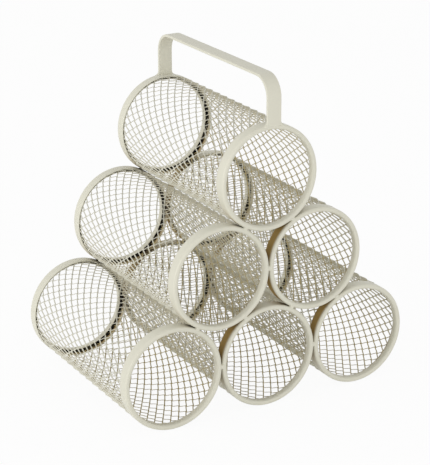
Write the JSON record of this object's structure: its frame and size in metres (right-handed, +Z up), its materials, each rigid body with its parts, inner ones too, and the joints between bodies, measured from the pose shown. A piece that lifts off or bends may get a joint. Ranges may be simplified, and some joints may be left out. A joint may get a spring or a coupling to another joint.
{
  "type": "bottle rack",
  "caption": "Carry rack of round mesh tubes welded in a pyramid, each with a folded channel rim at either end, and a flat strap handle on top, for bottles lying on their side.",
  "frame": {"origin": "centre of the rack's footprint, on the surface it stands on", "axes": "+Z up, +X across the tubes to the right seen from the front, +Y along the tubes from the front mouths to the rear mouths"},
  "size_m": [0.3012, 0.204, 0.3177],
  "materials": {
    "powder_coated_steel": "satin",
    "powder_coated_mesh": "satin"
  },
  "bodies": {
    "root": {"mesh_sleeve_bottom_left": "powder_coated_mesh", "mesh_sleeve_bottom_centre": "powder_coated_mesh", "mesh_sleeve_bottom_right": "powder_coated_mesh", "mesh_sleeve_middle_left": "powder_coated_mesh", "mesh_sleeve_middle_right": "powder_coated_mesh", "mesh_sleeve_top": "powder_coated_mesh", "front_rim_bottom_left": "powder_coated_steel", "front_rim_bottom_centre": "powder_coated_steel", "front_rim_bottom_right": "powder_coated_steel", "front_rim_middle_left": "powder_coated_steel", "front_rim_middle_right": "powder_coated_steel", "front_rim_top": "powder_coated_steel", "rear_rim_bottom_left": "powder_coated_steel", "rear_rim_bottom_centre": "powder_coated_steel", "rear_rim_bottom_right": "powder_coated_steel", "rear_rim_middle_left": "powder_coated_steel", "rear_rim_middle_right": "powder_coated_steel", "rear_rim_top": "powder_coated_steel", "strap_handle": "powder_coated_steel", "front_strap_weld_left": "powder_coated_steel", "front_strap_weld_right": "powder_coated_steel", "rear_strap_weld_left": "powder_coated_steel", "rear_strap_weld_right": "powder_coated_steel", "front_weld_bottom_left_to_bottom_centre": "powder_coated_steel", "front_weld_bottom_left_to_middle_left": "powder_coated_steel", "front_weld_bottom_centre_to_bottom_right": "powder_coated_steel", "front_weld_bottom_centre_to_middle_left": "powder_coated_steel", "front_weld_bottom_centre_to_middle_right": "powder_coated_steel", "front_weld_bottom_right_to_middle_right": "powder_coated_steel", "front_weld_middle_left_to_middle_right": "powder_coated_steel", "front_weld_middle_left_to_top": "powder_coated_steel", "front_weld_middle_right_to_top": "powder_coated_steel", "rear_weld_bottom_left_to_bottom_centre": "powder_coated_steel", "rear_weld_bottom_left_to_middle_left": "powder_coated_steel", "rear_weld_bottom_centre_to_bottom_right": "powder_coated_steel", "rear_weld_bottom_centre_to_middle_left": "powder_coated_steel", "rear_weld_bottom_centre_to_middle_right": "powder_coated_steel", "rear_weld_bottom_right_to_middle_right": "powder_coated_steel", "rear_weld_middle_left_to_middle_right": "powder_coated_steel", "rear_weld_middle_left_to_top": "powder_coated_steel", "rear_weld_middle_right_to_top": "powder_coated_steel"}
  },
  "joints": []
}
